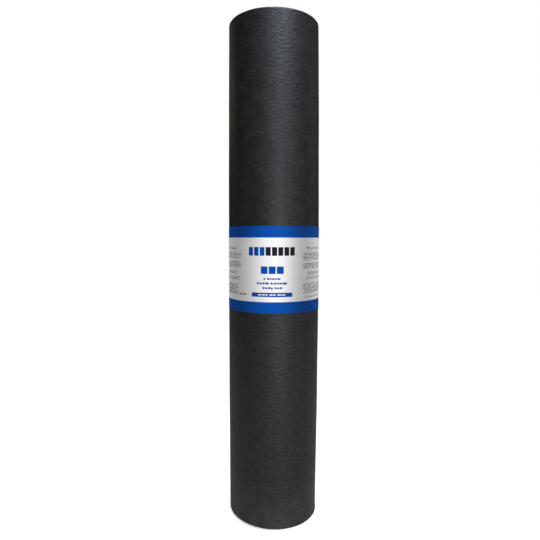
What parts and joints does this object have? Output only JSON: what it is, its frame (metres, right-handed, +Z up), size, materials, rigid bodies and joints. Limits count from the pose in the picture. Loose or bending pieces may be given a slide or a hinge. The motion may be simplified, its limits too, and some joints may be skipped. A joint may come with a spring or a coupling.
{
  "type": "roll of roofing felt",
  "caption": "Roll of asphalt-saturated roofing felt standing on its end, with an open middle and a printed paper label wrapped round it.",
  "frame": {"origin": "centre of the end that the roll stands on", "axes": "+Z up the roll's axis; the label's printed front faces -Y, and its glued lap faces +Y"},
  "size_m": [0.1706, 0.1708, 0.9144],
  "materials": {
    "roofing_felt": "matte",
    "label_paper": "matte"
  },
  "bodies": {
    "root": {"felt_roll": "roofing_felt", "label_band": "label_paper"}
  },
  "joints": []
}
